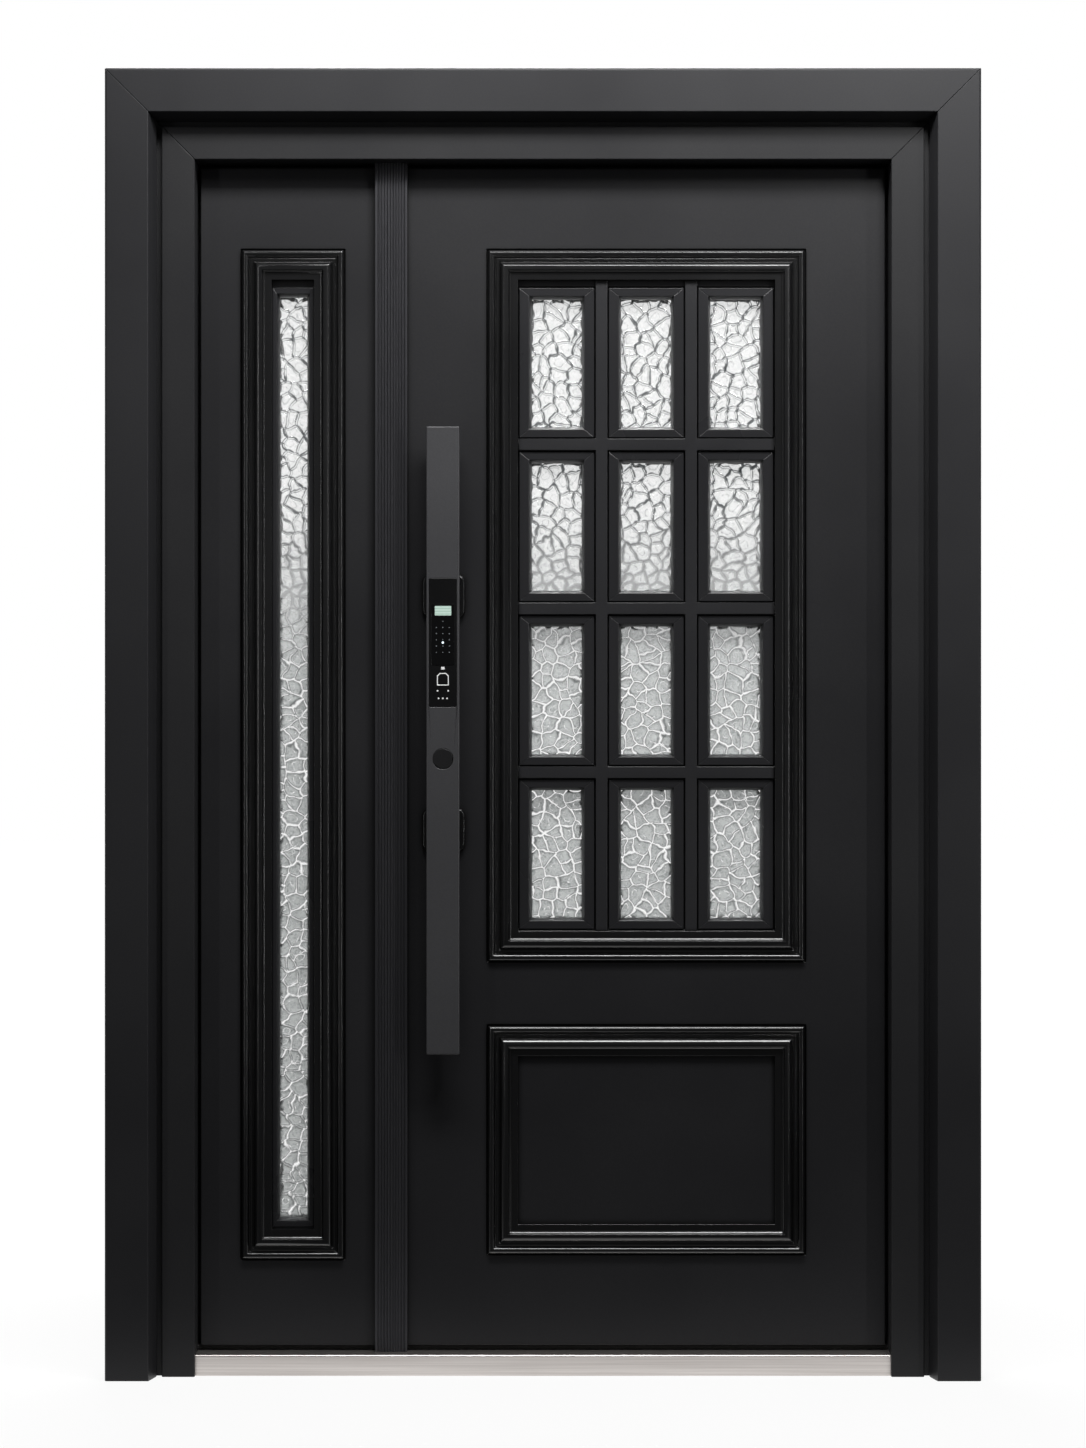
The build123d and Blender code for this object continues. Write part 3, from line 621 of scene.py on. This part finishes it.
# Unlit keypad print: a dull grey ink, only just to be seen on the acrylic
key_grey, key_tree, key_surface, key_place = new_material("keypad_print_grey")
key_grain = add(key_tree, "ShaderNodeTexNoise", {"Vector": key_place, "Scale": 1 / 0.002})
key_tint = add(key_tree, "ShaderNodeMix", {
    "Factor": key_grain, "A": linear("#6a6e72"), "B": linear("#8a8f93")}, data_type="RGBA")
key_tree.links.new(key_tint.outputs[2], key_surface.inputs["Base Color"])
key_surface.inputs["Roughness"].default_value = 0.4
key_pitch = (0.0115, 0.0110)
key_base = 1.2895
key_level = reader_face - 0.0005
key_points = [(reader_middle + i * key_pitch[0], key_level, key_base + j * key_pitch[1])
              for j in range(5) for i in (-1, 0, 1)]
key_points.append((reader_middle, key_level, key_base + 5 * key_pitch[1]))
keypad = grown("reader_keypad", key_points, keypad_dots, {
    "Radius": 0.0011, "Rise": 0.0006, "Print": key_grey})
mark_level = reader_face + 0.0002
mark_points = [(reader_middle + x, mark_level, z) for x, z in (
    (-0.0095, 1.2210), (0.0095, 1.2210), (-0.0075, 1.2075), (0.0, 1.2075), (0.0075, 1.2075))]
marks = grown("reader_marks", mark_points, keypad_dots, {
    "Radius": 0.0017, "Rise": 0.0008, "Print": print_white})

# Indicator: a light-emitting diode behind clear plastic, a pale cyan point
lamp_cyan, lamp_tree, lamp_surface, lamp_place = new_material("lit_indicator")
lamp_core = add(lamp_tree, "ShaderNodeTexNoise", {"Vector": lamp_place, "Scale": 1 / 0.004})
lamp_tint = add(lamp_tree, "ShaderNodeMix", {
    "Factor": lamp_core, "A": linear("#bfe9f7"), "B": linear("#f4fdff")}, data_type="RGBA")
lamp_tree.links.new(lamp_tint.outputs[2], lamp_surface.inputs["Emission Color"])
lamp_surface.inputs["Emission Strength"].default_value = 1.0
lamp = grown("reader_indicator", [(reader_middle, key_level, 1.3066)], keypad_dots, {
    "Radius": 0.0021, "Rise": 0.0008, "Print": lamp_cyan})
for piece in (keypad, marks, lamp):
    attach(piece, "main_leaf")
plate("reader_bar", [rounded(reader_middle - 0.0030, reader_middle + 0.0030, 1.2585, 1.2635, 0.0010)],
      reader_face - 0.0005, reader_face + 0.0003, 0.0002, print_white)
fob_outer = [(-0.0105, 1.2304), (0.0105, 1.2304), (0.0105, 1.2476), (0.0058, 1.2526), (-0.0058, 1.2526),
             (-0.0105, 1.2476)]
fob_line = 0.0017
fob_middle = 1.2415
fob_strokes = []
for i, (x0, z0) in enumerate(fob_outer):
    x1, z1 = fob_outer[(i + 1) % len(fob_outer)]
    inner = [(x * (1 - fob_line / 0.0105), fob_middle + (z - fob_middle) * (1 - fob_line / 0.0111))
             for x, z in ((x1, z1), (x0, z0))]
    fob_strokes.append([(reader_middle + x, z) for x, z in [(x0, z0), (x1, z1)] + inner])
plate("reader_fob", fob_strokes, reader_face - 0.0005, reader_face + 0.0003, 0.0002, print_white)

# Hinges: three lift-off hinges a leaf, turned steel knuckles on plates, phosphated black
# and fixed from the room side with two button-head socket screws a plate.
hinge_edge = 0.0007
hinge_black = powder_coat("phosphated_steel", "#1b1b1c", "#232324", 0.36)
for name in ("main_hinge", "side_hinge"):
    finish_node(name + "_jamb_halves", hinge_black, hinge_edge)
    finish_node(name + "_leaf_halves", hinge_black, hinge_edge)
hinge_axis = 0.6325
hinge_face = 0.124
hinge_bases = (0.3300, 1.0451, 1.7602)
leaf_half_rise = 0.0583
screw_reach = 0.026
screw_heights = (0.014, 0.044)


def button_head(radius, rise, socket, depth):
    """A low domed screw head with a six-sided socket, standing on the plane y = 0."""
    mesh = bmesh.new()
    turns = [math.radians(15 * i) for i in range(24)]
    hexagon = [socket / math.cos((turn % math.radians(60)) - math.radians(30)) for turn in turns]
    rings = []
    for reach, level in ((1.0, -0.1), (1.0, 0.25), (0.86, 0.68), (0.66, 1.0)):
        rings.append([(radius * reach, rise * level)] * 24)
    rings.append([(reach, rise) for reach in hexagon])
    rings.append([(reach, rise - depth) for reach in hexagon])
    loops = [[mesh.verts.new((reach * math.cos(turn), level, reach * math.sin(turn)))
              for turn, (reach, level) in zip(turns, ring)] for ring in rings]
    for lower, upper in zip(loops, loops[1:]):
        for i in range(24):
            j = (i + 1) % 24
            mesh.faces.new((lower[i], lower[j], upper[j], upper[i]))
    mesh.faces.new(loops[0])
    mesh.faces.new(loops[-1])
    bmesh.ops.recalc_face_normals(mesh, faces=mesh.faces)
    made = bpy.data.meshes.new("button_head")
    mesh.to_mesh(made)
    mesh.free()
    return bpy.data.objects.new("button_head", made)


screw_oxide = powder_coat("black_oxide_screw", "#2b2b2c", "#3a3a3b", 0.3, 0.5)
screw_head = button_head(0.0052, 0.0026, 0.0017, 0.0017)
screw_sets = (
    ("frame_hinge_screws", "frame", ((-1, 1, 0.0), (1, 1, 0.0))),
    ("main_hinge_screws", "main_leaf", ((1, -1, leaf_half_rise),)),
    ("side_hinge_screws", "side_leaf", ((-1, -1, leaf_half_rise),)))
for name, body, plates in screw_sets:
    points = [(side * (hinge_axis + away * screw_reach), hinge_face, base + rise + height)
              for side, away, rise in plates for base in hinge_bases for height in screw_heights]
    screws = grown(name, points, repeat_on_points, {"Piece": screw_head, "Finish": screw_oxide})
    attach(screws, body)
bpy.data.objects.remove(screw_head)

# Floor, lamps and camera: a white studio floor and, on each side of the door, a broad lamp close
# above it, a small one beside that for the shadows, a soft one higher up and two thin strips at
# the sides. The camera stands on the street, level with the middle of the door.
floor_mesh = bpy.data.meshes.new("floor")
floor_half = 30
floor_corners = [(x * floor_half, y * floor_half, 0) for x, y in ((-1, -1), (1, -1), (1, 1), (-1, 1))]
floor_mesh.from_pydata(floor_corners, [], [(0, 1, 2, 3)])
floor = bpy.data.objects.new("floor", floor_mesh)
bpy.context.scene.collection.objects.link(floor)
floor_white, floor_tree, floor_surface, floor_place = new_material("studio_floor")
floor_mesh.materials.append(floor_white)
floor_tree.nodes.remove(floor_surface)
floor_rays = add(floor_tree, "ShaderNodeLightPath").outputs
floor_seen = add(floor_tree, "ShaderNodeMath", {
    0: floor_rays["Is Camera Ray"], 1: floor_rays["Is Transmission Ray"]}, operation="MAXIMUM")
floor_spot = add(floor_tree, "ShaderNodeSeparateXYZ", {"Vector": floor_place})
floor_away = add(floor_tree, "ShaderNodeMath", {0: floor_spot.outputs["Y"]}, operation="ABSOLUTE")
floor_mirror = add(floor_tree, "ShaderNodeMapRange", {
    "Value": floor_away, "From Min": 0.15, "From Max": 0.5, "To Min": 1.0, "To Max": 0.03})
floor_shown = add(floor_tree, "ShaderNodeMath", {
    0: floor_rays["Is Glossy Ray"], 1: floor_mirror.outputs["Result"]}, operation="MULTIPLY")
floor_part = add(floor_tree, "ShaderNodeMath", {0: floor_seen, 1: floor_shown}, operation="MAXIMUM")
floor_reach = add(floor_tree, "ShaderNodeVectorMath", {0: floor_place}, operation="LENGTH")
floor_far = add(floor_tree, "ShaderNodeMapRange", {
    "Value": floor_reach.outputs["Value"], "From Min": 0.9, "From Max": 2.2},
    interpolation_type="SMOOTHSTEP")
floor_glow = add(floor_tree, "ShaderNodeMapRange", {"Value": floor_far, "To Min": 0.9, "To Max": 1.0})
floor_light = add(floor_tree, "ShaderNodeEmission", {
    "Color": (1.0, 1.0, 1.0, 1.0), "Strength": floor_glow.outputs["Result"]})
floor_coat = add(floor_tree, "ShaderNodeBsdfDiffuse", {"Color": linear("#5a5a5a")})
floor_sum = add(floor_tree, "ShaderNodeAddShader", {0: floor_light.outputs[0], 1: floor_coat.outputs[0]})
floor_dull = add(floor_tree, "ShaderNodeBsdfDiffuse", {"Color": linear("#1e1e1e")})
floor_mix = add(floor_tree, "ShaderNodeMixShader", {
    0: floor_part, 1: floor_dull.outputs[0], 2: floor_sum.outputs[0]})
floor_tree.links.new(floor_mix.outputs[0], floor_tree.nodes["Material Output"].inputs["Surface"])

world = bpy.data.worlds.new("studio")
bpy.context.scene.world = world
world.use_nodes = True
world_tree = world.node_tree
world_tree.nodes.clear()
world_rays = add(world_tree, "ShaderNodeLightPath").outputs
world_way = add(world_tree, "ShaderNodeSeparateXYZ", {
    "Vector": add(world_tree, "ShaderNodeTexCoord").outputs["Generated"]})
world_behind = add(world_tree, "ShaderNodeMapRange", {
    "Value": world_way.outputs["Y"], "From Min": -0.3, "From Max": 0.4, "To Min": 0.04, "To Max": 1.0})
world_shine = add(world_tree, "ShaderNodeMath", {
    0: world_rays["Is Glossy Ray"], 1: world_behind.outputs["Result"]}, operation="MULTIPLY")
world_seen = add(world_tree, "ShaderNodeMath", {
    0: world_rays["Is Camera Ray"], 1: world_rays["Is Transmission Ray"]}, operation="MAXIMUM")
world_part = add(world_tree, "ShaderNodeMath", {0: world_seen, 1: world_shine}, operation="MAXIMUM")
world_white = add(world_tree, "ShaderNodeBackground", {"Color": (1.0, 1.0, 1.0, 1.0), "Strength": 1.0})
world_dim = add(world_tree, "ShaderNodeBackground", {"Color": (1.0, 1.0, 1.0, 1.0), "Strength": 0.05})
world_mix = add(world_tree, "ShaderNodeMixShader", {
    0: world_part, 1: world_dim.outputs[0], 2: world_white.outputs[0]})
add(world_tree, "ShaderNodeOutputWorld", {"Surface": world_mix.outputs[0]})


def lamp_at(name, place, target, width, depth, power):
    """A soft area lamp aimed at a point."""
    data = bpy.data.lights.new(name, "AREA")
    data.shape = "RECTANGLE"
    data.size = width
    data.size_y = depth
    data.energy = power
    made = bpy.data.objects.new(name, data)
    made.location = place
    made.rotation_euler = (Vector(target) - Vector(place)).to_track_quat("-Z", "Y").to_euler()
    bpy.context.scene.collection.objects.link(made)


lamp_at("key_street", (0.06, -1.20, 3.30), (0.0, 0.0, 1.7), 1.5, 0.4, 48)
lamp_at("spot_street", (1.00, -1.45, 3.00), (0.1, 0.0, 1.3), 0.35, 0.35, 14)
lamp_at("top_street", (0.0, -2.0, 4.7), (0.0, 0.0, 1.2), 1.9, 1.5, 22)
lamp_at("right_street", (1.9, -1.8, 1.5), (0.0, 0.0, 1.5), 0.05, 2.4, 8)
lamp_at("left_street", (-1.9, -1.8, 1.5), (0.0, 0.0, 1.5), 0.05, 2.4, 4)
lamp_at("key_room", (-0.06, 1.40, 3.30), (0.0, 0.1, 1.7), 1.5, 0.4, 48)
lamp_at("spot_room", (-1.00, 1.65, 3.00), (0.1, 0.1, 1.3), 0.35, 0.35, 14)
lamp_at("top_room", (0.0, 2.2, 4.7), (0.0, 0.1, 1.2), 1.9, 1.5, 22)
lamp_at("right_room", (1.9, 2.0, 1.5), (0.0, 0.1, 1.5), 0.06, 2.4, 7)
lamp_at("left_room", (-1.9, 2.0, 1.5), (0.0, 0.1, 1.5), 0.06, 2.4, 7)

camera_data = bpy.data.cameras.new("camera")
camera_data.sensor_width = 36
camera_data.lens = 91.43
camera = bpy.data.objects.new("camera", camera_data)
camera.location = (0.0, -6.56, 1.162)
camera.rotation_euler = (math.radians(90), 0.0, 0.0)
bpy.context.scene.collection.objects.link(camera)
bpy.context.scene.camera = camera
bpy.context.scene.view_settings.view_transform = "Standard"
